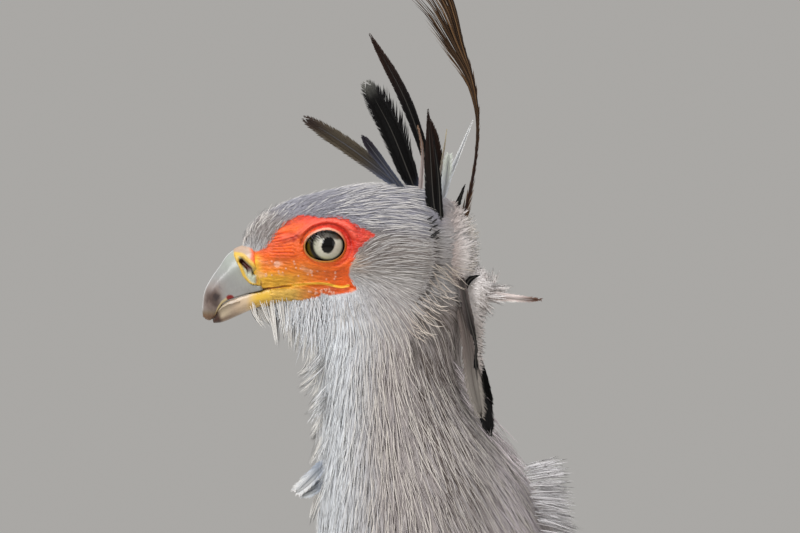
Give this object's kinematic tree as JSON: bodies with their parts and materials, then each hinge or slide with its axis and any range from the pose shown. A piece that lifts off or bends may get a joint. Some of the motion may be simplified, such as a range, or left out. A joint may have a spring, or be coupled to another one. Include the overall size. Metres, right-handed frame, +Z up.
{
  "type": "secretary bird",
  "caption": "Life-size still model of a standing secretary bird with a raised crest, long bare shanks, folded wings and a long drooping tail.",
  "frame": {"origin": "on the floor under the middle of the bird's length and width, at the soles' level", "axes": "+Z up; the bird faces -Y and its left side is +X"},
  "size_m": [0.2174, 1.0118, 1.267],
  "materials": {
    "plumage": "soft grey body feathers, bluish white at the throat",
    "wing": "grey wing coverts over black flight feathers",
    "tail": "grey tail feathers with a black band and white tips",
    "thigh": "loose black feathers",
    "horn": "smooth blue-grey horn, darker at the tip",
    "cere": "yellow fleshy skin",
    "eye": "clear wet cornea over a pale iris and a black pupil",
    "shank": "scaled pinkish-grey skin",
    "claw": "black-brown horn"
  },
  "bodies": {
    "root": {"head": "plumage", "eye_left": "eye", "eye_right": "eye", "cere": "cere", "bill_upper": "horn", "bill_lower": "horn", "neck_upper": "plumage", "neck_lower": "plumage", "torso": "plumage", "tail": "tail", "wing_left": "wing", "thigh_left": "thigh", "shank_left": "shank", "foot_left": "shank", "toe_left_inner": "shank", "claw_left_inner": "claw", "toe_left_middle": "shank", "claw_left_middle": "claw", "toe_left_outer": "shank", "claw_left_outer": "claw", "toe_left_hind": "shank", "claw_left_hind": "claw", "wing_right": "wing", "thigh_right": "thigh", "shank_right": "shank", "foot_right": "shank", "toe_right_inner": "shank", "claw_right_inner": "claw", "toe_right_middle": "shank", "claw_right_middle": "claw", "toe_right_outer": "shank", "claw_right_outer": "claw", "toe_right_hind": "shank", "claw_right_hind": "claw"}
  },
  "joints": []
}
